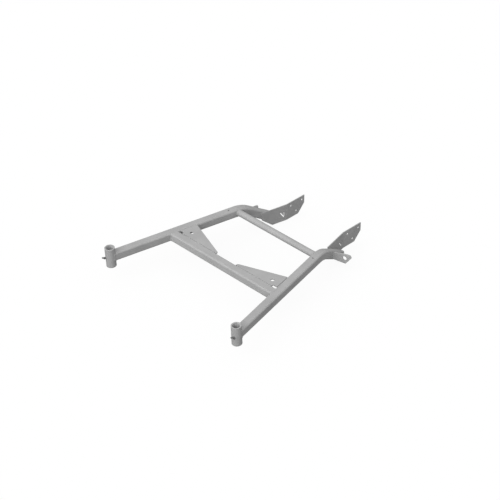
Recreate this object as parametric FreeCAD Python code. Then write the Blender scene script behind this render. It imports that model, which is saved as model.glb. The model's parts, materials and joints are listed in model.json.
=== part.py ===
import FreeCAD, Part
import math
import os

# Welded caster carrier frame: two splayed square-tube side rails with a caster hub at each
# front end, a front cross tube with corner gussets, a round rear cross tube, and
# bent mounting plates on the inner faces of the dropped rail tails.
# Millimetres. X to the right, Y to the rear, Z up. Everything is first drawn about the point
# where the rear cross tube's axis meets the mirror plane, then moved so that the origin is
# the middle of the bounding box's base.

V = FreeCAD.Vector
INCH = 25.4

# ---- square tube of the rails and the front cross tube ----
tube_side = 2.0 * INCH
tube_wall = 3.0 / 16.0 * INCH
tube_corner = 0.375 * INCH

# ---- plan layout ----
hub_half_spacing = 490.6
rear_half_spacing = 316.4
hub_to_rear_tube = 797.0
front_tube_y = -417.0

# ---- drop of the rail tails ----
drop_angle = 31.0
drop_apex = 35.0
drop_radius = 170.0
tail_length = 238.0

# ---- caster hubs, leaning forward at the top in the rails' upright planes, and their bushings ----
hub_lean = 3.5
hub_od = 2.25 * INCH
hub_wall = 0.25 * INCH
hub_height = 4.75 * INCH
hub_centre_z = -0.75
bushing_wall = 0.0625 * INCH
bushing_length = 1.5 * INCH
bushing_recess = 2.0

# ---- rear cross tube ----
rear_tube_od = 1.5 * INCH
rear_tube_wall = 0.188 * INCH

# ---- gussets: distances back from the front tube's rear face and in from the rail's inner face ----
gusset_thick = 0.25 * INCH
gusset_set_down = 0.0
gusset_rail_back = 115.6
gusset_tip_in = 296.0
gusset_tip_back = 13.1
gusset_nose = 6.0
gusset_hole_in = 54.2
gusset_hole_back = 40.1
gusset_hole_dia = 21.0
gusset_relief_in = 30.0
gusset_relief_back = 12.5

# ---- hole in the top wall of each rail ----
rail_hole_along = -53.0
rail_hole_dia = 10.0

# ---- rear mounting plates: heights below the top edge, distances along the rail or straight back ----
plate_thick = 0.1875 * INCH
plate_top_rise_left = 16.2
plate_right_rise = 0.75 * INCH
plate_height = 105.5
plate_front_along = 153.5
plate_front_edge = 48.5
plate_front_cut = 70.5
plate_bend_along = 324.0
plate_bend_radius = 10.0
plate_rear_y = 454.3
plate_rear_edge = 51.5
plate_rear_cut = 50.1
plate_hole_dia = 0.5 * INCH
plate_pair_drop = 25.0
plate_pair_front_y = 344.4
plate_pair_spacing = 90.6
plate_low_drop = 78.0
plate_low_y = 388.0
plate_slot_width = 5.5
plate_slot_slant = ((281.0, 46.0), (302.5, 77.0))
plate_slot_upright = ((305.0, 46.0), (305.0, 77.0))

# ---- tab on the right rail and lug on the left rail: (outward, above the rail's centre) outlines ----
tab_thick = 0.25 * INCH
tab_along = 123.0
tab_outline = ((0.0, -24.5), (80.0, -26.1), (115.0, 21.9), (107.0, 37.9), (72.0, 34.9), (0.0, 20.9))
tab_hole_out = 73.0
tab_hole_rise = 7.9
tab_hole_dia = 1.0 * INCH
tab_corner = 7.0
lug_thick = 0.625 * INCH
lug_along = 147.0
lug_outline = ((0.0, -12.9), (45.0, -12.9), (45.0, 1.0), (12.0, 30.0), (0.0, 30.0))

# ---- grease fittings: 45 degree elbows turned outboard of the rails' lines, each with a check ball ----
fitting_turn = 8.7
fitting_roll = 34.0
fitting_thread_dia = 10.2
fitting_thread_gap = 0.05
fitting_hex = 0.4375 * INCH
fitting_hex_length = 9.0
fitting_shank_stop = 1.0
fitting_angle = 45.0
fitting_bend_out = 5.0
fitting_passage = 1.6
fitting_body_dia = 9.4
fitting_neck_dia = 6.4
fitting_head_dia = 8.6
fitting_tip_dia = 3.8
fitting_reach = 25.0
chamber_start = 12.5
chamber_lip = 1.6
ball_dia = 2.4
ball_side_gap = 0.3
ball_seat_gap = 0.3
spring_wire = 0.3
spring_turns = 6
spring_end_gap = 0.05

os.makedirs("parts", exist_ok=True)

# ---- values that follow from the sizes above ----
splay = math.atan2(hub_half_spacing - rear_half_spacing, hub_to_rear_tube)
rail_reach = math.hypot(hub_half_spacing - rear_half_spacing, hub_to_rear_tube)
half_tube = tube_side / 2.0
front_tube_rear_y = front_tube_y + half_tube
drop = math.radians(drop_angle)
hub_bore = hub_od - 2.0 * hub_wall
bushing_bore = hub_bore - 2.0 * bushing_wall
fitting_heading = math.radians(fitting_turn)
chamber_dia = ball_dia + 2.0 * ball_side_gap
chamber_end = fitting_reach - chamber_lip


def right_point(along, out, z):
    """Point beside the right rail: rearward along it, outward from its centre plane, and height."""
    x = rear_half_spacing - along * math.sin(splay) + out * math.cos(splay)
    y = along * math.cos(splay) + out * math.sin(splay)
    return V(x, y, z)


def tail_centre_z(along):
    """Height of the dropped tail's centre line at a distance rearward along the rail."""
    return -(along - drop_apex) * math.tan(drop)


def corner_gap(height):
    """How far a tube's rounded corner has drawn back from its flat face, at a height off its centre."""
    rise = max(abs(height) - (half_tube - tube_corner), 0.0)
    return tube_corner - math.sqrt(tube_corner ** 2 - rise ** 2)


def beside_right_rail(shape):
    """Moves a shape drawn with Y along the rail and X outward to its place beside the right rail."""
    placed = shape.copy()
    placed.rotate(V(0, 0, 0), V(0, 0, 1), math.degrees(splay))
    placed.translate(V(rear_half_spacing, 0, 0))
    return placed


def on_hub(shape):
    """Moves a shape drawn upright about the origin to the middle of the right hub, leaning as it does."""
    placed = shape.copy()
    placed.rotate(V(0, 0, 0), V(1, 0, 0), hub_lean)
    placed.rotate(V(0, 0, 0), V(0, 0, 1), math.degrees(splay))
    placed.translate(V(hub_half_spacing, -hub_to_rear_tube, hub_centre_z))
    return placed


def mirrored(shape):
    """The left-hand copy of a right-hand shape."""
    return shape.mirror(V(0, 0, 0), V(1, 0, 0))


def prism(points, direction):
    """Solid made by pushing a closed outline along a vector."""
    wire = Part.makePolygon(list(points) + [points[0]])
    return Part.Face(wire).extrude(direction)


def rounded_square(side, corner):
    """Face of a square with rounded corners, centred, in the XZ plane."""
    half = side / 2.0
    flat = half - corner
    reach = corner * math.sqrt(0.5)
    edges = []
    for turn in range(4):
        a = turn * math.pi / 2.0
        c, s = math.cos(a), math.sin(a)

        def spin(x, z):
            return V(x * c - z * s, 0, x * s + z * c)

        edges.append(Part.LineSegment(spin(half, -flat), spin(half, flat)).toShape())
        middle = spin(flat + reach, flat + reach)
        edges.append(Part.Arc(spin(half, flat), middle, spin(flat, half)).toShape())
    return Part.Face(Part.Wire(edges))


def rail_core(side, corner):
    """Bent rail of full section: a straight run from the hub, an arc down, and a straight tail."""
    section = rounded_square(side, corner)
    tangent = drop_radius * math.tan(drop / 2.0)
    bend_start = drop_apex - tangent
    front = section.copy()
    front.translate(V(0, -rail_reach, 0))
    run = front.extrude(V(0, rail_reach + bend_start, 0))
    at_bend = section.copy()
    at_bend.translate(V(0, bend_start, 0))
    arc = at_bend.revolve(V(0, bend_start, -drop_radius), V(1, 0, 0), -drop_angle)
    tail_face = section.copy()
    tail_face.rotate(V(0, 0, 0), V(1, 0, 0), -drop_angle)
    y0 = drop_apex + tangent * math.cos(drop)
    z0 = -tangent * math.sin(drop)
    tail_face.translate(V(0, y0, z0))
    left = tail_length - tangent
    tail = tail_face.extrude(V(0, left * math.cos(drop), -left * math.sin(drop)))
    return run.fuse([arc, tail]).removeSplitter()


def coped(tube):
    """Cross tube trimmed at the rails' centre planes and then fitted to the rails' outer surfaces."""
    corners = []
    for along in (-rail_reach, tail_length):
        corners.append(right_point(along, 0.0, -tube_side))
    left_corners = [V(-p.x, p.y, p.z) for p in reversed(corners)]
    trimmed = tube.common(prism(corners + left_corners, V(0, 0, 2.0 * tube_side)))
    right_rail = beside_right_rail(rail_core(tube_side, tube_corner))
    return trimmed.cut([right_rail, mirrored(right_rail)])


def make_rail():
    """Right rail: hollow, coped to the hub, with the hole in its top wall."""
    inner_corner = max(tube_corner - tube_wall, 0.2)
    tube = rail_core(tube_side, tube_corner).cut(rail_core(tube_side - 2.0 * tube_wall, inner_corner))
    tube = beside_right_rail(tube)
    tube = tube.cut(on_hub(Part.makeCylinder(hub_od / 2.0, 4.0 * tube_side, V(0, 0, -2.0 * tube_side))))
    mouth = right_point(rail_hole_along, 0, half_tube - 1.5 * tube_wall)
    return tube.cut(Part.makeCylinder(rail_hole_dia / 2.0, 3.0 * tube_wall, mouth))


def make_front_tube():
    """Front cross tube, coped to the rails."""
    inner_corner = max(tube_corner - tube_wall, 0.2)
    shell = []
    for side, corner in ((tube_side, tube_corner), (tube_side - 2.0 * tube_wall, inner_corner)):
        section = rounded_square(side, corner)
        section.rotate(V(0, 0, 0), V(0, 0, 1), 90)
        section.translate(V(-hub_half_spacing, front_tube_y, 0))
        shell.append(section.extrude(V(2.0 * hub_half_spacing, 0, 0)))
    return coped(shell[0].cut(shell[1]))


def make_rear_tube():
    """Round rear cross tube, coped to the rails."""
    start = V(-hub_half_spacing, 0, 0)
    length = 2.0 * hub_half_spacing
    outer = Part.makeCylinder(rear_tube_od / 2.0, length, start, V(1, 0, 0))
    inner = Part.makeCylinder(rear_tube_od / 2.0 - rear_tube_wall, length, start, V(1, 0, 0))
    return coped(outer.cut(inner))


def make_gusset():
    """Right gusset: flat plate in the rear corner of rail and front tube, with a hole and a corner relief."""
    bottom = half_tube - gusset_set_down - gusset_thick
    gap = corner_gap(bottom)
    inner_x = rear_half_spacing - (half_tube - gap) / math.cos(splay)

    def rail_face_x(y):
        return inner_x - y * math.tan(splay)

    rail_y = front_tube_rear_y + gusset_rail_back
    hole_y = front_tube_rear_y + gusset_hole_back
    rail_rear = V(rail_face_x(rail_y), rail_y, bottom)
    front_y = front_tube_rear_y - gap
    corner = V(rail_face_x(front_y), front_y, bottom)
    tip = V(corner.x - gusset_tip_in, front_tube_rear_y + gusset_tip_back, bottom)
    nose = V(tip.x - gusset_nose, front_y, bottom)
    plate = prism([rail_rear, corner, nose, tip], V(0, 0, gusset_thick))
    hole_at = V(rail_face_x(hole_y) - gusset_hole_in, hole_y, bottom - gusset_thick)
    plate = plate.cut(Part.makeCylinder(gusset_hole_dia / 2.0, 3.0 * gusset_thick, hole_at))
    relief_at = V(corner.x - gusset_relief_in, front_tube_rear_y - gusset_thick, bottom - gusset_thick)
    relief_back = gusset_relief_back + gusset_thick
    return plate.cut(Part.makeBox(2.0 * gusset_relief_in, relief_back, 3.0 * gusset_thick, relief_at))


def make_hub():
    """Right caster hub: leaning sleeve with the tapped hole for its grease fitting."""
    base = V(0, 0, -hub_height / 2.0)
    sleeve = Part.makeCylinder(hub_od / 2.0, hub_height, base)
    sleeve = sleeve.cut(Part.makeCylinder(hub_bore / 2.0, hub_height, base))
    out = V(math.sin(fitting_heading), -math.cos(fitting_heading), 0)
    radius = fitting_thread_dia / 2.0 + fitting_thread_gap
    sleeve = sleeve.cut(Part.makeCylinder(radius, hub_od, V(0, 0, 0), out))
    edges = [e for e in sleeve.Edges if is_rim(e, hub_od / 2.0)]
    return on_hub(sleeve.makeChamfer(0.8, edges))


def is_rim(edge, radius):
    """True for a full circle of that radius lying level."""
    curve = edge.Curve
    if not isinstance(curve, Part.Circle):
        return False
    return abs(curve.Radius - radius) < 1e-6 and abs(abs(curve.Axis.z) - 1.0) < 1e-6


def make_bushing(upper):
    """Sleeve bushing pressed into one end of the right hub."""
    half = hub_height / 2.0 - bushing_recess
    base = V(0, 0, half - bushing_length if upper else -half)
    sleeve = Part.makeCylinder(hub_bore / 2.0, bushing_length, base)
    return on_hub(sleeve.cut(Part.makeCylinder(bushing_bore / 2.0, bushing_length, base)))


def slot_cutter(start, end, top):
    """Round-ended cutter across the front leg of a plate, between two (along, below the top) points."""
    points = [right_point(a, -half_tube - 2.0 * plate_thick, top - d) for a, d in (start, end)]
    across = right_point(0, 4.0 * plate_thick, 0) - right_point(0, 0, 0)
    ends = [Part.makeCylinder(plate_slot_width / 2.0, across.Length, p, across) for p in points]
    run = points[1] - points[0]
    sideways = across.cross(run)
    sideways.normalize()
    half = sideways * (plate_slot_width / 2.0)
    corners = [points[0] + half, points[1] + half, points[1] - half, points[0] - half]
    return prism(corners, across).fuse(ends)


def make_plate(rise):
    """Right rear plate: a leg on the rail's inner face, a bend, and a leg that runs straight back."""
    top = tail_centre_z(plate_front_along) + rise
    bottom = top - plate_height
    out_front = right_point(plate_front_along, -half_tube, bottom)
    out_bend = right_point(plate_bend_along, -half_tube, bottom)
    out_rear = V(out_bend.x, plate_rear_y, bottom)
    in_front = right_point(plate_front_along, -half_tube - plate_thick, bottom)
    in_x = out_bend.x - plate_thick
    in_along = plate_bend_along - plate_thick * math.tan(splay / 2.0)
    in_bend = V(in_x, right_point(in_along, -half_tube - plate_thick, 0).y, bottom)
    in_rear = V(in_x, plate_rear_y, bottom)
    plate = prism([out_front, out_bend, out_rear, in_rear, in_bend, in_front], V(0, 0, plate_height))
    for corner, radius in ((out_bend, plate_bend_radius), (in_bend, plate_bend_radius + plate_thick)):
        edges = [e for e in plate.Edges if upright_at(e, corner)]
        plate = plate.makeFillet(radius, edges)
    across = right_point(0, 6.0 * plate_thick, 0) - right_point(0, 0, 0)
    start = -half_tube - 3.0 * plate_thick
    low = right_point(plate_front_along, start, top - plate_front_edge)
    foot = right_point(plate_front_along + plate_front_cut, start, bottom)
    under = right_point(plate_front_along + plate_front_cut, start, bottom - plate_height)
    ahead = right_point(plate_front_along - plate_height, start, bottom - plate_height)
    level = right_point(plate_front_along - plate_height, start, top - plate_front_edge)
    plate = plate.cut(prism([low, foot, under, ahead, level], across))
    x0 = in_x - 2.0 * plate_thick
    heel = V(x0, plate_rear_y - plate_rear_cut, bottom)
    rear = V(x0, plate_rear_y, top - plate_rear_edge)
    beyond = V(x0, plate_rear_y + plate_height, top - plate_rear_edge)
    far = V(x0, plate_rear_y + plate_height, bottom - plate_height)
    below = V(x0, plate_rear_y - plate_rear_cut, bottom - plate_height)
    plate = plate.cut(prism([heel, rear, beyond, far, below], V(6.0 * plate_thick, 0, 0)))
    spots = [(plate_pair_front_y, plate_pair_drop)]
    spots.append((plate_pair_front_y + plate_pair_spacing, plate_pair_drop))
    spots.append((plate_low_y, plate_low_drop))
    for y, fall in spots:
        hole_at = V(x0, y, top - fall)
        plate = plate.cut(Part.makeCylinder(plate_hole_dia / 2.0, 6.0 * plate_thick, hole_at, V(1, 0, 0)))
    for start_end in (plate_slot_slant, plate_slot_upright):
        plate = plate.cut(slot_cutter(start_end[0], start_end[1], top))
    return plate


def upright_at(edge, corner):
    """True for the upright straight edge that stands on a corner."""
    a, b = edge.Vertexes[0].Point, edge.Vertexes[-1].Point
    level = math.hypot(a.x - corner.x, a.y - corner.y) < 1e-6
    return level and math.hypot(b.x - corner.x, b.y - corner.y) < 1e-6


def outrigger(outline, along, thick):
    """Upright plate square to the right rail, on its outer face, from an (outward, height) outline."""
    level = tail_centre_z(along)
    points = [right_point(along, half_tube + out, level + rise) for out, rise in outline]
    return prism(points, right_point(thick, 0, 0) - right_point(0, 0, 0))


def make_tab():
    """Tab on the right rail's outer face, with its large hole and rounded outer corners."""
    plate = outrigger(tab_outline, tab_along, tab_thick)
    level = tail_centre_z(tab_along)
    rearward = right_point(1, 0, 0) - right_point(0, 0, 0)
    hole_at = right_point(tab_along - tab_thick, half_tube + tab_hole_out, level + tab_hole_rise)
    plate = plate.cut(Part.makeCylinder(tab_hole_dia / 2.0, 3.0 * tab_thick, hole_at, rearward))
    outer = [right_point(tab_along, half_tube + tab_outline[i][0], level + tab_outline[i][1]) for i in (2, 3)]
    edges = [e for e in plate.Edges for p in outer if joins(e, p, p + rearward * tab_thick)]
    return plate.makeFillet(tab_corner, edges)


def joins(edge, start, end):
    """True for the edge that runs between two points."""
    ends = [v.Point for v in edge.Vertexes]
    near_start = min(p.distanceToPoint(start) for p in ends) < 1e-6
    return near_start and min(p.distanceToPoint(end) for p in ends) < 1e-6


def fitting_place(shape):
    """Moves a fitting drawn with X outward from the hub's axis to its place on the front of the right hub."""
    placed = shape.copy()
    placed.rotate(V(0, 0, 0), V(0, 0, 1), fitting_turn - 90.0)
    return on_hub(placed)


def tipped(shape):
    """Turns a shape drawn along Z so that it points out of the fitting's elbow, rolled about the thread."""
    placed = shape.copy()
    placed.rotate(V(0, 0, 0), V(0, 1, 0), 90.0 - fitting_angle)
    placed.rotate(V(0, 0, 0), V(1, 0, 0), fitting_roll)
    placed.translate(V(hub_od / 2.0 + fitting_bend_out, 0, 0))
    return placed


def turned(profile):
    """Solid of revolution about Z from (radius, height) points."""
    points = [V(r, 0, z) for r, z in profile]
    return Part.Face(Part.makePolygon(points + [points[0]])).revolve(V(0, 0, 0), V(0, 0, 1), 360)


def make_fitting():
    """Elbow grease fitting: threaded shank, hex, angled nipple, passage and ball chamber."""
    hub_radius = hub_od / 2.0
    shank_start = hub_bore / 2.0 + fitting_shank_stop
    shank_length = hub_radius - shank_start
    shank = Part.makeCylinder(fitting_thread_dia / 2.0, shank_length, V(shank_start, 0, 0), V(1, 0, 0))
    corner = fitting_hex / math.sqrt(3.0)
    ring = []
    for i in range(6):
        a = math.radians(60.0 * i)
        ring.append(V(hub_radius, corner * math.cos(a), corner * math.sin(a)))
    hexagon = prism(ring, V(fitting_hex_length, 0, 0))
    hub_skin = Part.makeCylinder(hub_radius, 4.0 * fitting_hex, V(0, 0, -2.0 * fitting_hex))
    sunk = hub_radius - math.sqrt(hub_radius ** 2 - corner ** 2)
    base = prism([p - V(sunk, 0, 0) for p in ring], V(sunk, 0, 0)).cut(hub_skin)
    body = fitting_body_dia / 2.0
    neck = fitting_neck_dia / 2.0
    head = fitting_head_dia / 2.0
    tip = fitting_tip_dia / 2.0
    s = fitting_reach
    outline = [(0, 0), (body, 0), (body, s - 7.4), (neck, s - 6.6), (neck, s - 4.8), (head, s - 3.6)]
    outline += [(head, s - 2.6), (tip, s), (0, s)]
    nipple = tipped(turned(outline))
    solid = shank.fuse([hexagon, base, nipple])
    passage = fitting_passage / 2.0
    chamber = chamber_dia / 2.0
    inside = [(0, -passage), (passage, -passage), (passage, chamber_start), (chamber, chamber_start)]
    inside += [(chamber, chamber_end), (passage, chamber_end + chamber - passage)]
    inside += [(passage, s + 1.0), (0, s + 1.0)]
    solid = solid.cut(tipped(turned(inside)))
    feed_length = hub_radius + fitting_bend_out - shank_start + 1.0
    feed = Part.makeCylinder(passage, feed_length, V(shank_start - 1.0, 0, 0), V(1, 0, 0))
    return fitting_place(solid.cut(feed).removeSplitter())


def ball_centre():
    """Height of the closed check ball's centre along the nipple."""
    return chamber_end + chamber_dia / 2.0 - (ball_dia / 2.0 + ball_seat_gap) * math.sqrt(2.0)


def make_ball():
    """Check ball, just off its seat under the nipple's mouth."""
    return fitting_place(tipped(Part.makeSphere(ball_dia / 2.0, V(0, 0, ball_centre()))))


def make_spring():
    """Coil spring between the chamber's floor and the check ball."""
    wire = spring_wire / 2.0
    mean = ball_dia / 2.0 - 2.0 * wire
    lean = math.sqrt((ball_dia / 2.0 + wire) ** 2 - mean ** 2)
    low = chamber_start + wire + spring_end_gap
    high = ball_centre() - lean - spring_end_gap
    helix = Part.makeHelix((high - low) / spring_turns, high - low, mean)
    helix.translate(V(0, 0, low))
    helix = fitting_place(tipped(helix))
    start = helix.Edges[0].valueAt(helix.Edges[0].FirstParameter)
    heading = helix.Edges[0].tangentAt(helix.Edges[0].FirstParameter)
    section = Part.Wire([Part.makeCircle(wire, start, heading)])
    return Part.Wire(helix.Edges).makePipeShell([section], True, True)


nodes = {}
rail = make_rail()
hub = make_hub()
gusset = make_gusset()
fitting = make_fitting()
ball = make_ball()
spring = make_spring()
for name, shape in (("rail", rail), ("caster_hub", hub), ("gusset", gusset), ("grease_fitting", fitting),
                    ("check_ball", ball), ("check_spring", spring)):
    nodes[name + "_right"] = shape
    nodes[name + "_left"] = mirrored(shape)
for level, upper in (("upper", True), ("lower", False)):
    bushing = make_bushing(upper)
    nodes["bushing_" + level + "_right"] = bushing
    nodes["bushing_" + level + "_left"] = mirrored(bushing)
nodes["front_cross_tube"] = make_front_tube()
nodes["rear_cross_tube"] = make_rear_tube()
nodes["mounting_plate_right"] = make_plate(plate_top_rise_left + plate_right_rise)
nodes["mounting_plate_left"] = mirrored(make_plate(plate_top_rise_left))
nodes["side_tab_right"] = make_tab()
nodes["side_lug_left"] = mirrored(outrigger(lug_outline, lug_along, lug_thick))

box = FreeCAD.BoundBox()
for shape in nodes.values():
    box.add(shape.optimalBoundingBox(False, False))
to_row = V(0, -(box.YMin + box.YMax) / 2.0, -box.ZMin)
for name, shape in nodes.items():
    shape.translate(to_row)
    if not shape.isValid() or len(shape.Solids) != 1:
        print("check", name, shape.isValid(), len(shape.Solids))
    shape.Solids[0].exportStep("parts/" + name + ".step")
print("row shift", round(to_row.y, 4), round(to_row.z, 4), "nodes", len(nodes))
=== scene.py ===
import json
import math

import bpy
import numpy as np
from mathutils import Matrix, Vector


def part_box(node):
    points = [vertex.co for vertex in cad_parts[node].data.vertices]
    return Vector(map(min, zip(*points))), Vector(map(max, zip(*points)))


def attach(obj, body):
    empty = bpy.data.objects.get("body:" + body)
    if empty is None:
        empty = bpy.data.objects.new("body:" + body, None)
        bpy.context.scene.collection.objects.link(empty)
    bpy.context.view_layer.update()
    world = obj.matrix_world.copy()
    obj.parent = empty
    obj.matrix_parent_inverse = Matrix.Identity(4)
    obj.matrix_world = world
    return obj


# Welded caster carrier frame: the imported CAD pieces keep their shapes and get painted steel, liner and zinc
# finishes, and the weld beads that join them are added here. Metres, in the CAD's own frame: X to the frame's
# right, Y to the rear, Z up.

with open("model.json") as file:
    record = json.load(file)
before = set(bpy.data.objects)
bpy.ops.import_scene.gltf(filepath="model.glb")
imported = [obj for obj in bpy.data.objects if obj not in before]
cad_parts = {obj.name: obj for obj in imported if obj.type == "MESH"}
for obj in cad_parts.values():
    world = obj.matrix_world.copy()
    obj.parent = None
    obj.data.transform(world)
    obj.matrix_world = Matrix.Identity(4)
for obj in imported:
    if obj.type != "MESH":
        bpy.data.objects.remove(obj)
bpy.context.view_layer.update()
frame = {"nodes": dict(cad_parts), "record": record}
node = frame["nodes"]
mounts = {m["name"]: m for m in frame["record"]["mounts"]}

# ---- sizes that the weld seams follow, the same as the CAD's ----
tube_half = 0.0254
tube_corner = 0.009525
rail_spread = 0.3164
drop_apex = 0.035
drop = math.radians(31.0)
drop_radius = 0.170
tail_length = 0.238
hub_radius = 0.028575
rear_tube_radius = 0.01905
gusset_under = 0.01905
plate_front = 0.1535
plate_front_edge = 0.0485
plate_slant_fall = 0.0570
plate_slant_run = 0.0705
tab_front = 0.123
tab_thick = 0.00635
lug_front = 0.147
lug_thick = 0.015875

# ---- radii of the weld beads ----
hub_bead = 0.0034
front_tube_bead = 0.0034
rear_tube_bead = 0.0029
gusset_bead = 0.003
flush_bead = 0.0043
edge_bead = 0.0028
groove_bead = 0.0034
tail_end_bead = 0.0026

# ---- where the open seams start and stop, and how deep the flush ones lie ----
flush_sink = 0.0026
front_bead_lean = 0.9
gusset_rail_weld = (0.016, 0.112)
gusset_tube_weld = (0.034, 0.290)
gusset_groove = np.array([0.0, -0.0032, 0.0028])
edge_weld_half = 0.0175
edge_weld_margin = 0.002
groove_inset = 0.0008
groove_rise = tube_half - 0.0049
groove_margin = 0.004
plate_front_margin = 0.005
groove_bead_lean = 0.5
low_plate_top = -0.045
lower_groove_start = 0.156
slant_weld = (0.003, 0.040)
tail_end_weld = (0.016, -0.016)
tab_weld_heights = (-0.0170, 0.0150)
lug_weld_heights = (-0.0105, 0.0165)

# ---- how finely the seams and beads are drawn ----
square_points = 400
circle_points = 200
steps_in_ripple = 7.0
points_round_bead = 14
least_points = 8

# ---- how a bead's surface runs, in shares of its radius or of a ripple where no unit is given ----
full_turn = 2.0 * math.pi
ripple_pitch = 0.0026  # metres
bead_height = 0.8
crescent_lag = 0.45
swell = 0.13
crest = 0.22
crest_turn = 0.9  # radians
slow_wander = 0.07
slow_swings = 3.0  # in each seam
quick_wander = 0.04
quick_swings = 7.0  # in each seam
wander_turn = 40.0  # radians for each metre of seam, so that no two lengths wander alike
end_length = 1.5
end_least = 0.004

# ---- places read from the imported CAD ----
low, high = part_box("rear_cross_tube")
middle = np.array([0.0, 0.5 * (low.y + high.y), 0.5 * (low.z + high.z)])
hub_at = np.array(mounts["caster_stem_bore_right"]["pos_m"]) - middle
hub_axis = mounts["caster_stem_bore_right"]["axis"]
hub_lean = math.atan2(math.hypot(hub_axis[0], hub_axis[1]), hub_axis[2])
splay = math.atan2(hub_at[0] - rail_spread, -hub_at[1])
low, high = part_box("front_cross_tube")
front_tube_y = 0.5 * (low.y + high.y) - middle[1]

rearward = np.array([-math.sin(splay), math.cos(splay), 0.0])
outward = np.array([math.cos(splay), math.sin(splay), 0.0])
upward = np.array([0.0, 0.0, 1.0])
behind = np.array([0.0, 1.0, 0.0])
up_tail = math.sin(drop) * rearward + math.cos(drop) * upward
down_tail = math.cos(drop) * rearward - math.sin(drop) * upward
rail_start = np.array([rail_spread, 0.0, 0.0])


def beside_rail(along, out, height):
    """Point beside the right rail: its start, plus along times rearward, out times outward and height times
    up."""
    along, out, height = np.broadcast_arrays(*[np.asarray(v, float) for v in (along, out, height)])
    return rail_start + along[..., None] * rearward + out[..., None] * outward + height[..., None] * upward


def on_tail(run, rise):
    """Distance along the rail and height of a point on the dropped tail: the apex, plus run down the tail's
    centre line and rise square to it."""
    along = drop_apex + run * math.cos(drop) + rise * math.sin(drop)
    height = -run * math.sin(drop) + rise * math.cos(drop)
    return along, height


def inner_face_x(y):
    """Where the right rail's inner face stands at a distance rearward: a straight line, splayed in plan."""
    return rail_spread - tube_half / math.cos(splay) - y * math.tan(splay)


def corner_rise(height):
    """How far a height from a tube's middle has gone into its rounded corner, as a share of the corner."""
    return np.clip((np.abs(height) - (tube_half - tube_corner)) / tube_corner, 0.0, 1.0)


def corner_gap(height):
    """How far the rounded corner stands back from the flat side at a height: the corner radius, less the
    square root of its square less the square of the rise into the corner."""
    return tube_corner * (1.0 - np.sqrt(1.0 - corner_rise(height) ** 2))


def rail_drop(y):
    """How far the rail's centre line has come down at a distance rearward, on the arc that starts its
    tail."""
    into = np.maximum(y / math.cos(splay) + drop_radius * math.tan(0.5 * drop) - drop_apex, 0.0)
    return drop_radius - np.sqrt(drop_radius ** 2 - into ** 2)


def unit(v):
    """Vectors scaled to length one."""
    return v / np.maximum(np.linalg.norm(v, axis=-1, keepdims=True), 1e-12)


def rounded_square_ring(half, corner, count):
    """Points and outward normals evenly round a square with rounded corners: the walk round it is cut at four
    flats and four quarter circles, and each stretch is filled in by its own straight line or arc."""
    flat = 2.0 * (half - corner)
    bend = 0.5 * math.pi * corner
    walk = np.linspace(0.0, 4.0 * (flat + bend), count, endpoint=False)
    side = np.floor(walk / (flat + bend))
    left = walk - side * (flat + bend)
    turn = side * 0.5 * math.pi
    sweep = np.clip(left - flat, 0.0, bend) / corner
    u = half - corner + corner * np.cos(sweep)
    v = np.clip(left, 0.0, flat) - (half - corner) + corner * np.sin(sweep)
    a = u * np.cos(turn) - v * np.sin(turn)
    b = u * np.sin(turn) + v * np.cos(turn)
    normal = np.stack([np.cos(turn + sweep), np.sin(turn + sweep)], -1)
    return np.stack([a, b], -1), normal


def evenly(path, lift, step, closed):
    """The path and its lift vectors read again at even steps of arc length, with the arc length at each point
    and in all."""
    if closed:
        path = np.concatenate([path, path[:1]])
        lift = np.concatenate([lift, lift[:1]])
    gone = np.concatenate([[0.0], np.cumsum(np.linalg.norm(np.diff(path, axis=0), axis=1))])
    count = max(int(round(gone[-1] / step)), least_points)
    at = np.linspace(0.0, gone[-1], count, endpoint=not closed)
    path = np.stack([np.interp(at, gone, path[:, k]) for k in range(3)], -1)
    lift = np.stack([np.interp(at, gone, lift[:, k]) for k in range(3)], -1)
    return path, unit(lift), at, gone[-1]


def bead(path, lift, radius, closed):
    """Weld bead: a squashed round section carried along the seam. Its radius swells and falls once a ripple,
    each ripple is a crescent because its phase lags towards the bead's edges, it wanders slowly in width, and
    an open bead's ends round off as a quarter circle does."""
    path, lift, at, total = evenly(path, lift, ripple_pitch / steps_in_ripple, closed)
    if closed:
        heading = unit(np.roll(path, -1, axis=0) - np.roll(path, 1, axis=0))
    else:
        heading = unit(np.gradient(path, axis=0))
    lift = unit(lift - heading * np.sum(lift * heading, -1, keepdims=True))
    across = np.cross(heading, lift)
    ripples = max(round(total / ripple_pitch), 1)
    theta = np.linspace(0.0, full_turn, points_round_bead, endpoint=False)
    phase = full_turn * (ripples * at[:, None] / total - crescent_lag * np.sin(theta)[None, :] ** 2)
    ripple = 0.5 + 0.5 * np.cos(phase) + crest * np.cos(2.0 * phase + crest_turn)
    share = full_turn * at / total
    wander = slow_wander * np.sin(slow_swings * share + wander_turn * total)
    wander = wander + quick_wander * np.sin(quick_swings * share)
    size = radius * (1.0 + wander[:, None] + swell * (ripple - 0.5))
    if not closed:
        near = np.minimum(np.minimum(at, total - at) / (end_length * radius), 1.0)
        size = size * np.sqrt(np.maximum(1.0 - (1.0 - near) ** 2, end_least))[:, None]
    sideways = np.cos(theta)[None, :, None] * across[:, None, :]
    raised = bead_height * np.sin(theta)[None, :, None] * lift[:, None, :]
    return wrapped(path[:, None, :] + size[..., None] * (sideways + raised), path, closed)


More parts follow.
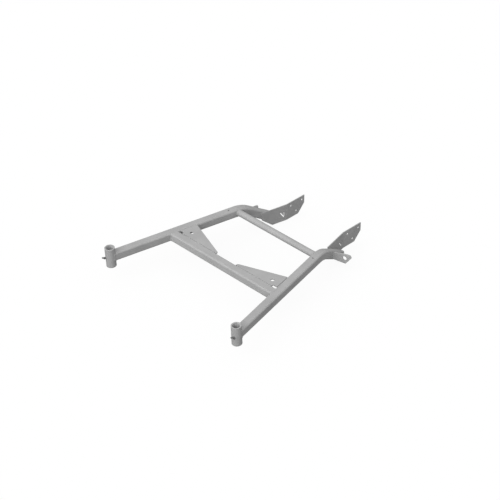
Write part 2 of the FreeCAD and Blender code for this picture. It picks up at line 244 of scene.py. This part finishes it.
def wrapped(skin, path, closed):
    """Points and faces of a skin of rings: quads from each ring to the next, and on an open path a fan over
    each end ring from the path's own end point."""
    rows, around = skin.shape[:2]
    ring = np.arange(around)
    after = (ring + 1) % around
    row = np.arange(rows if closed else rows - 1)[:, None]
    here = row * around
    there = (row + 1) % rows * around
    quads = np.stack([here + ring, there + ring, there + after, here + after], -1).reshape(-1, 4)
    points = skin.reshape(-1, 3)
    if closed:
        return points, [quads]
    count = len(points)
    last = (rows - 1) * around
    start = np.stack([np.full(around, count), ring, after], -1)
    stop = np.stack([np.full(around, count + 1), last + after, last + ring], -1)
    return np.concatenate([points, path[:1], path[-1:]]), [quads, start, stop]


def straight(start, stop, lift):
    """Two-point seam with one lift vector all along it."""
    return np.array([start, stop]), np.array([lift, lift])


def hub_seam():
    """Closed seam where the rail's rounded square meets the hub: a point of the square at sideways distance s
    stands the square root of (hub radius squared less s squared) behind the hub's axis, which leans forward
    with height."""
    ring, normal = rounded_square_ring(tube_half, tube_corner, square_points)
    back = np.sqrt(hub_radius ** 2 - ring[:, 0] ** 2) / math.cos(hub_lean)
    back = back - (ring[:, 1] - hub_at[2]) * math.tan(hub_lean)
    path = hub_at * [1, 1, 0] + back[:, None] * rearward + ring[:, :1] * outward + ring[:, 1:] * upward
    from_hub = (back[:, None] * rearward + ring[:, :1] * outward) / hub_radius
    from_tube = normal[:, :1] * outward + normal[:, 1:] * upward
    return path, from_hub + from_tube


def on_rail_side(y, z, level):
    """Points of the rail's inner side, which rounds away above and below its flat, and the normals there.
    level is the height of the rail's centre line."""
    gap = corner_gap(z - level)
    rise = corner_rise(z - level)
    side_normal = np.sqrt(1.0 - rise ** 2)
    points = np.stack([inner_face_x(y) + gap / math.cos(splay), y, z], -1)
    return points, -side_normal[:, None] * outward + (rise * np.sign(z - level))[:, None] * upward


def front_tube_seam():
    """Closed seam round the front tube's coped end on the rail's rounded side, sunk into the metal at the top
    and bottom, where the two tubes run flush."""
    ring, normal = rounded_square_ring(tube_half, tube_corner, square_points)
    path, from_rail = on_rail_side(front_tube_y + ring[:, 0], ring[:, 1], 0.0)
    path[:, 2] = np.clip(path[:, 2], -tube_half + flush_sink, tube_half - flush_sink)
    from_tube = np.stack([np.zeros(len(ring)), normal[:, 0], normal[:, 1]], -1)
    return path, from_tube + front_bead_lean * from_rail


def rear_tube_seam():
    """Closed seam where the round rear tube meets the rail's side: a circle seen along the tube."""
    t = np.linspace(0.0, full_turn, circle_points, endpoint=False)
    y = rear_tube_radius * np.cos(t)
    path, from_rail = on_rail_side(y, rear_tube_radius * np.sin(t), -rail_drop(y))
    from_tube = np.stack([np.zeros_like(t), np.cos(t), np.sin(t)], -1)
    return path, from_tube + from_rail


def gusset_seams():
    """Seams under the gusset, along the rail and along the front tube, where its lower edge meets their
    sides, and the flush one that fills the groove between its front edge and the front tube's upper
    corner."""
    gap = float(corner_gap(gusset_under))
    back = front_tube_y + tube_half - gap
    at_rail = [np.array([inner_face_x(back + y) + gap / math.cos(splay), back + y, gusset_under])
               for y in gusset_rail_weld]
    at_tube = [np.array([inner_face_x(back) - x, back, gusset_under]) for x in gusset_tube_weld]
    in_groove = [point + gusset_groove for point in at_tube]
    return [(straight(*at_rail, -outward - upward), gusset_bead),
            (straight(*at_tube, behind - upward), gusset_bead),
            (straight(*in_groove, upward), flush_bead)]


def groove_ends(rise, first):
    """Ends of a seam in the groove along one corner of the tail, at a rise from its centre line: the first at
    a distance down the tail, the other just short of its cut end."""
    ends = [on_tail(run, rise) for run in (first, tail_length - groove_margin)]
    return [beside_rail(along, groove_inset - tube_half, height) for along, height in ends]


def plate_seams(side):
    """Seams of a rear plate on the rail's tail: down its front edge, in the groove along the tail's upper
    corner, below it, and across the tail's cut end. The one below follows the tail's lower corner on a plate
    that hangs low, and the plate's own slanted edge on one that stands higher."""
    _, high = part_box("mounting_plate_" + side)
    top = high.z - middle[2]
    inner = -tube_half
    centre = -(plate_front - drop_apex) * math.tan(drop)
    start = min(top, centre + edge_weld_half) - edge_weld_margin
    stop = max(top - plate_front_edge, centre - edge_weld_half) + edge_weld_margin
    front_edge = [beside_rail(plate_front, inner, height) for height in (start, stop)]
    clear_of_top = (groove_rise * math.cos(drop) - top + groove_margin) / math.sin(drop)
    clear_of_front = plate_front + plate_front_margin - drop_apex - groove_rise * math.sin(drop)
    upper = groove_ends(groove_rise, max(clear_of_top, clear_of_front / math.cos(drop)))
    if top < low_plate_top:
        lower = groove_ends(-groove_rise, lower_groove_start)
        below = (straight(*lower, -up_tail + groove_bead_lean * outward), groove_bead)
    else:
        slant = plate_slant_fall / plate_slant_run
        cut = [beside_rail(plate_front + a, inner, top - plate_front_edge - a * slant) for a in slant_weld]
        below = (straight(*cut, -upward - outward), edge_bead)
    ends = [on_tail(tail_length, rise) for rise in tail_end_weld]
    tail_end = [beside_rail(along, inner, height) for along, height in ends]
    return [(straight(*front_edge, -rearward - outward), edge_bead),
            (straight(*upper, up_tail + groove_bead_lean * outward), groove_bead),
            below,
            (straight(*tail_end, down_tail + outward), tail_end_bead)]


def ear_seams(front, thick, bottom, top):
    """Seams down both sides of a plate that stands out square from the rail's outer face, between two heights
    from the rail's centre line there."""
    centre = -(front - drop_apex) * math.tan(drop)
    seams = []
    for along, way in ((front, -rearward), (front + thick, rearward)):
        ends = [beside_rail(along, tube_half, centre + height) for height in (bottom, top)]
        seams.append((straight(*ends, way + outward), edge_bead))
    return seams


def added(name, data):
    """A new object in the scene that shows some data."""
    made = bpy.data.objects.new(name, data)
    bpy.context.scene.collection.objects.link(made)
    return made


def piece(name, seams, closed, side, material):
    """One object that holds the beads of several seams, mirrored in X for the left side, at its place."""
    points, faces, count = [], [], 0
    for (path, lift), radius in seams:
        skin, parts = bead(path, lift, radius, closed)
        points.append(skin)
        faces += [p + count for p in parts]
        count += len(skin)
    points = np.concatenate(points)
    if side == "left":
        points = points * [-1.0, 1.0, 1.0]
        faces = [f[:, ::-1] for f in faces]
    points = points + middle
    mesh = bpy.data.meshes.new(name)
    mesh.from_pydata(points.tolist(), [], [f for part in faces for f in part.tolist()])
    mesh.shade_smooth()
    mesh.materials.append(material)
    made = added(name, mesh)
    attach(made, "frame")


# ---- finishes ----
paint_shade = 0.36
less_blue = 0.02


def start_finish(name):
    """A new material with its shader, and a shorthand that adds a node of a kind with some values set."""
    material = bpy.data.materials.new(name)
    material.use_nodes = True
    tree = material.node_tree
    shader = tree.nodes["Principled BSDF"]

    def add(kind, **values):
        """A new node of a kind, with its settings and sockets given by name."""
        made = tree.nodes.new("ShaderNode" + kind)
        for key, value in values.items():
            if hasattr(made, key):
                setattr(made, key, value)
            else:
                made.inputs[key.replace("_", " ")].default_value = value
        return made

    return material, tree.links.new, shader, add


def place_pattern(add, link, turn=0.0, stretch=(1.0, 1.0, 1.0)):
    """Object coordinates, turned about Z and stretched."""
    where = add("TexCoord")
    laid = add("Mapping", Rotation=(0.0, 0.0, turn), Scale=stretch)
    link(where.outputs["Object"], laid.inputs["Vector"])
    return laid.outputs["Vector"]


def noise(add, link, where, **values):
    """Value of a noise texture at some coordinates."""
    made = add("TexNoise", **values)
    link(where, made.inputs["Vector"])
    return made.outputs["Fac"]


def bands(add, link, where, **values):
    """Value of a texture of bands stacked along Z at some coordinates."""
    made = add("TexWave", wave_type="BANDS", bands_direction="Z", **values)
    link(where, made.inputs["Vector"])
    return made.outputs["Fac"]


def ramp(add, link, source, stops):
    """Colour ramp over a 0 to 1 value from (place, grey or colour) stops."""
    made = add("ValToRGB")
    bar = made.color_ramp
    while len(bar.elements) < len(stops):
        bar.elements.new(0.5)
    for element, (place, shade) in zip(bar.elements, stops):
        element.position = place
        element.color = (shade, shade, shade, 1.0) if isinstance(shade, float) else (*shade, 1.0)
    link(source, made.inputs["Fac"])
    return made.outputs["Color"]


def bumped(add, link, height, strength, distance, under=None):
    """Normal that a height gives, on top of another normal where there is one."""
    made = add("Bump", Strength=strength, Distance=distance)
    link(height, made.inputs["Height"])
    if under is not None:
        link(under, made.inputs["Normal"])
    return made.outputs["Normal"]


def rubbed_edges(add, link, radius):
    """1 on sharp edges and 0 on flats, from how far a rounded normal leans from the true one, with the
    rounded normal as well."""
    soft = add("Bevel", samples=4, Radius=radius)
    true = add("NewGeometry")
    lean = add("VectorMath", operation="DOT_PRODUCT")
    link(soft.outputs["Normal"], lean.inputs[0])
    link(true.outputs["Normal"], lean.inputs[1])
    mask = add("MapRange", From_Min=0.985, From_Max=0.86, To_Min=0.0, To_Max=1.0)
    link(lean.outputs["Value"], mask.inputs["Value"])
    return mask.outputs["Result"], soft.outputs["Normal"]


def lightened(add, link, amount, tone, brighter):
    """The paint's tone, mixed by an amount with a lighter one: brighter times the paint's shade, and a little
    less in the blue."""
    made = add("Mix", data_type="RGBA", clamp_factor=True)
    link(amount, made.inputs["Factor"])
    under, over = [s for s in made.inputs if s.type == "RGBA"]
    link(tone, under)
    light = paint_shade * brighter
    over.default_value = (light, light, paint_shade * (brighter - less_blue), 1.0)
    return [s for s in made.outputs if s.type == "RGBA"][0]


def grey_paint(name, turn=0.0, grain=(1.0, 1.0, 1.0), grain_size=260.0, grain_depth=0.00004, turned=False):
    """Satin grey paint over steel: cloudy tone, orange peel, the steel's own grain telegraphing through, fine
    dust specks and edges rubbed a little lighter."""
    material, link, shader, add = start_finish(name)
    spot = place_pattern(add, link)
    lines = place_pattern(add, link, turn, grain)
    cloud = noise(add, link, spot, Scale=9.0, Detail=5.0, Roughness=0.55)
    tone = ramp(add, link, cloud, [(0.3, paint_shade * 0.93), (0.7, paint_shade * 1.06)])
    specks = noise(add, link, spot, Scale=420.0, Detail=2.0)
    tone = lightened(add, link, ramp(add, link, specks, [(0.60, 0.0), (0.74, 0.35)]), tone, 1.22)
    edge, soft_normal = rubbed_edges(add, link, 0.0009)
    scuff = noise(add, link, spot, Scale=70.0, Detail=4.0)
    rub = add("Math", operation="MULTIPLY")
    link(edge, rub.inputs[0])
    link(ramp(add, link, scuff, [(0.42, 0.0), (0.62, 0.65)]), rub.inputs[1])
    link(lightened(add, link, rub.outputs["Value"], tone, 1.5), shader.inputs["Base Color"])
    haze = noise(add, link, spot, Scale=26.0, Detail=3.0)
    link(ramp(add, link, haze, [(0.25, 0.44), (0.75, 0.58)]), shader.inputs["Roughness"])
    if turned:
        mill = bands(add, link, lines, Scale=grain_size, Distortion=0.6)
    else:
        mill = noise(add, link, lines, Scale=grain_size, Detail=3.0)
    coarse = bumped(add, link, mill, 0.5, grain_depth, soft_normal)
    peel = noise(add, link, spot, Scale=950.0, Detail=2.0)
    link(bumped(add, link, peel, 0.35, 0.00006, coarse), shader.inputs["Normal"])
    return material


def weld_paint():
    """Grey paint over weld beads: the same coat in a cloudier tone, with spatter grains."""
    material, link, shader, add = start_finish("paint_on_weld")
    spot = place_pattern(add, link)
    cloud = noise(add, link, spot, Scale=60.0, Detail=4.0)
    tone = ramp(add, link, cloud, [(0.3, paint_shade * 0.88), (0.7, paint_shade * 1.08)])
    link(tone, shader.inputs["Base Color"])
    grains = add("TexVoronoi", Scale=700.0)
    link(spot, grains.inputs["Vector"])
    rough = ramp(add, link, grains.outputs["Distance"], [(0.1, 0.42), (0.8, 0.62)])
    link(rough, shader.inputs["Roughness"])
    link(bumped(add, link, grains.outputs["Distance"], 0.4, 0.0001), shader.inputs["Normal"])
    return material


def fine_surface(name, shade, dark, metallic, rough, pit_size):
    """Bare or plated metal, or a liner: cloudy tone between two shades, and pores or plating grain."""
    material, link, shader, add = start_finish(name)
    shader.inputs["Metallic"].default_value = metallic
    spot = place_pattern(add, link)
    cloud = noise(add, link, spot, Scale=90.0, Detail=4.0)
    link(ramp(add, link, cloud, [(0.3, dark), (0.7, shade)]), shader.inputs["Base Color"])
    pits = noise(add, link, spot, Scale=pit_size, Detail=3.0)
    link(ramp(add, link, pits, [(0.3, rough - 0.07), (0.7, rough + 0.1)]), shader.inputs["Roughness"])
    link(bumped(add, link, pits, 0.35, 0.00005), shader.inputs["Normal"])
    return material


def give(names, material):
    """Puts one finish on CAD nodes, in place of the plain one."""
    for name in names:
        slots = node[name].data.materials
        slots.clear()
        slots.append(material)


along_rail = (1.0, 0.04, 1.0)
along_cross_tube = (0.04, 1.0, 1.0)
give(["rail_right"], grey_paint("paint_on_right_rail", turn=-splay, grain=along_rail))
give(["rail_left"], grey_paint("paint_on_left_rail", turn=splay, grain=along_rail))
give(["front_cross_tube"], grey_paint("paint_on_front_tube", grain=along_cross_tube))
give(["rear_cross_tube"], grey_paint("paint_on_rear_tube", grain=along_cross_tube, grain_size=320.0))
plate_paint = grey_paint("paint_on_plate", grain_size=120.0, grain_depth=0.00009)
give(["gusset_right", "gusset_left", "mounting_plate_right", "mounting_plate_left", "side_tab_right",
      "side_lug_left"], plate_paint)
hub_paint = grey_paint("paint_on_hub", grain_size=420.0, grain_depth=0.00003, turned=True)
give(["caster_hub_right", "caster_hub_left"], hub_paint)
liner = fine_surface("liner_polymer", 0.50, 0.40, metallic=0.0, rough=0.46, pit_size=1300.0)
give(["bushing_upper_right", "bushing_upper_left", "bushing_lower_right", "bushing_lower_left"], liner)
zinc = fine_surface("dull_zinc_plate", 0.24, 0.15, metallic=0.5, rough=0.45, pit_size=900.0)
give(["grease_fitting_right", "grease_fitting_left"], zinc)
spring_steel = fine_surface("drawn_spring_steel", (0.52, 0.52, 0.53), (0.38, 0.38, 0.39), metallic=1.0,
                            rough=0.24, pit_size=2400.0)
give(["check_ball_right", "check_ball_left", "check_spring_right", "check_spring_left"], spring_steel)

# ---- weld beads ----
weld = weld_paint()
for side in ("right", "left"):
    piece("hub_weld_" + side, [(hub_seam(), hub_bead)], True, side, weld)
    piece("front_tube_weld_" + side, [(front_tube_seam(), front_tube_bead)], True, side, weld)
    piece("rear_tube_weld_" + side, [(rear_tube_seam(), rear_tube_bead)], True, side, weld)
    piece("gusset_weld_" + side, gusset_seams(), False, side, weld)
    piece("plate_weld_" + side, plate_seams(side), False, side, weld)
piece("tab_weld_right", ear_seams(tab_front, tab_thick, *tab_weld_heights), False, "right", weld)
piece("lug_weld_left", ear_seams(lug_front, lug_thick, *lug_weld_heights), False, "left", weld)

# ---- floor, light and camera ----
floor_reach = 9.0
paper_grey = 0.08
paper_glow = 0.91
light_above = 0.80
light_below = 0.18
horizon_blend = 0.35
key_strength = 2.13
key_softness = math.radians(64.0)
key_tilt = math.radians(59.4)
key_turn = math.radians(8.0)
view_tilt = math.radians(54.7356)
view_turn = math.radians(45.0)
view_distance = 10.40405
view_right = -0.14737
view_up = -0.09086
sensor_width_mm = 36.0
lens_length_mm = 134.58
clip_end = 60.0


def studio_floor():
    """Square of glowing matt paper that the camera sees, but that neither lights the object nor shades it."""
    r = floor_reach
    mesh = bpy.data.meshes.new("studio_floor")
    mesh.from_pydata([(-r, -r, 0), (r, -r, 0), (r, r, 0), (-r, r, 0)], [], [(0, 1, 2, 3)])
    material = bpy.data.materials.new("studio_paper")
    material.use_nodes = True
    paper = material.node_tree.nodes["Principled BSDF"]
    paper.inputs["Base Color"].default_value = (paper_grey, paper_grey, paper_grey, 1.0)
    paper.inputs["Roughness"].default_value = 0.9
    paper.inputs["Specular IOR Level"].default_value = 0.0
    paper.inputs["Emission Color"].default_value = (1.0, 1.0, 1.0, 1.0)
    paper.inputs["Emission Strength"].default_value = paper_glow
    mesh.materials.append(material)
    floor = added("studio_floor", mesh)
    floor.visible_diffuse = False
    floor.visible_glossy = False
    floor.visible_shadow = False


def studio_light():
    """Plain surround that is one grey from above and a darker one from below, with a soft change between, and
    one soft key light."""
    world = bpy.data.worlds.new("studio")
    bpy.context.scene.world = world
    world.use_nodes = True
    tree = world.node_tree
    where = tree.nodes.new("ShaderNodeTexCoord")
    parts = tree.nodes.new("ShaderNodeSeparateXYZ")
    level = tree.nodes.new("ShaderNodeMapRange")
    level.interpolation_type = "SMOOTHSTEP"
    level.inputs["From Min"].default_value = -horizon_blend
    level.inputs["From Max"].default_value = horizon_blend
    level.inputs["To Min"].default_value = light_below
    level.inputs["To Max"].default_value = light_above
    tree.links.new(where.outputs["Generated"], parts.inputs["Vector"])
    tree.links.new(parts.outputs["Z"], level.inputs["Value"])
    tree.links.new(level.outputs["Result"], tree.nodes["Background"].inputs["Strength"])
    tree.nodes["Background"].inputs["Color"].default_value = (1.0, 1.0, 1.0, 1.0)
    key = added("key_light", bpy.data.lights.new("key_light", "SUN"))
    key.data.energy = key_strength
    key.data.angle = key_softness
    key.rotation_euler = (key_tilt, 0.0, key_turn)


def studio_camera():
    """Camera that looks along the view's tilt and turn, at its distance from the rear tube's middle and moved
    a little to the left and down."""
    lens = bpy.data.cameras.new("camera")
    lens.sensor_width = sensor_width_mm
    lens.lens = lens_length_mm
    lens.clip_end = clip_end
    camera = added("camera", lens)
    away = np.array([math.sin(view_turn) * math.sin(view_tilt), -math.cos(view_turn) * math.sin(view_tilt),
                     math.cos(view_tilt)])
    right = np.array([math.cos(view_turn), math.sin(view_turn), 0.0])
    camera.location = middle + view_distance * away + view_right * right + view_up * np.cross(away, right)
    camera.rotation_euler = (view_tilt, 0.0, view_turn)
    bpy.context.scene.camera = camera


studio_floor()
studio_light()
studio_camera()
bpy.context.scene.view_settings.view_transform = "Standard"
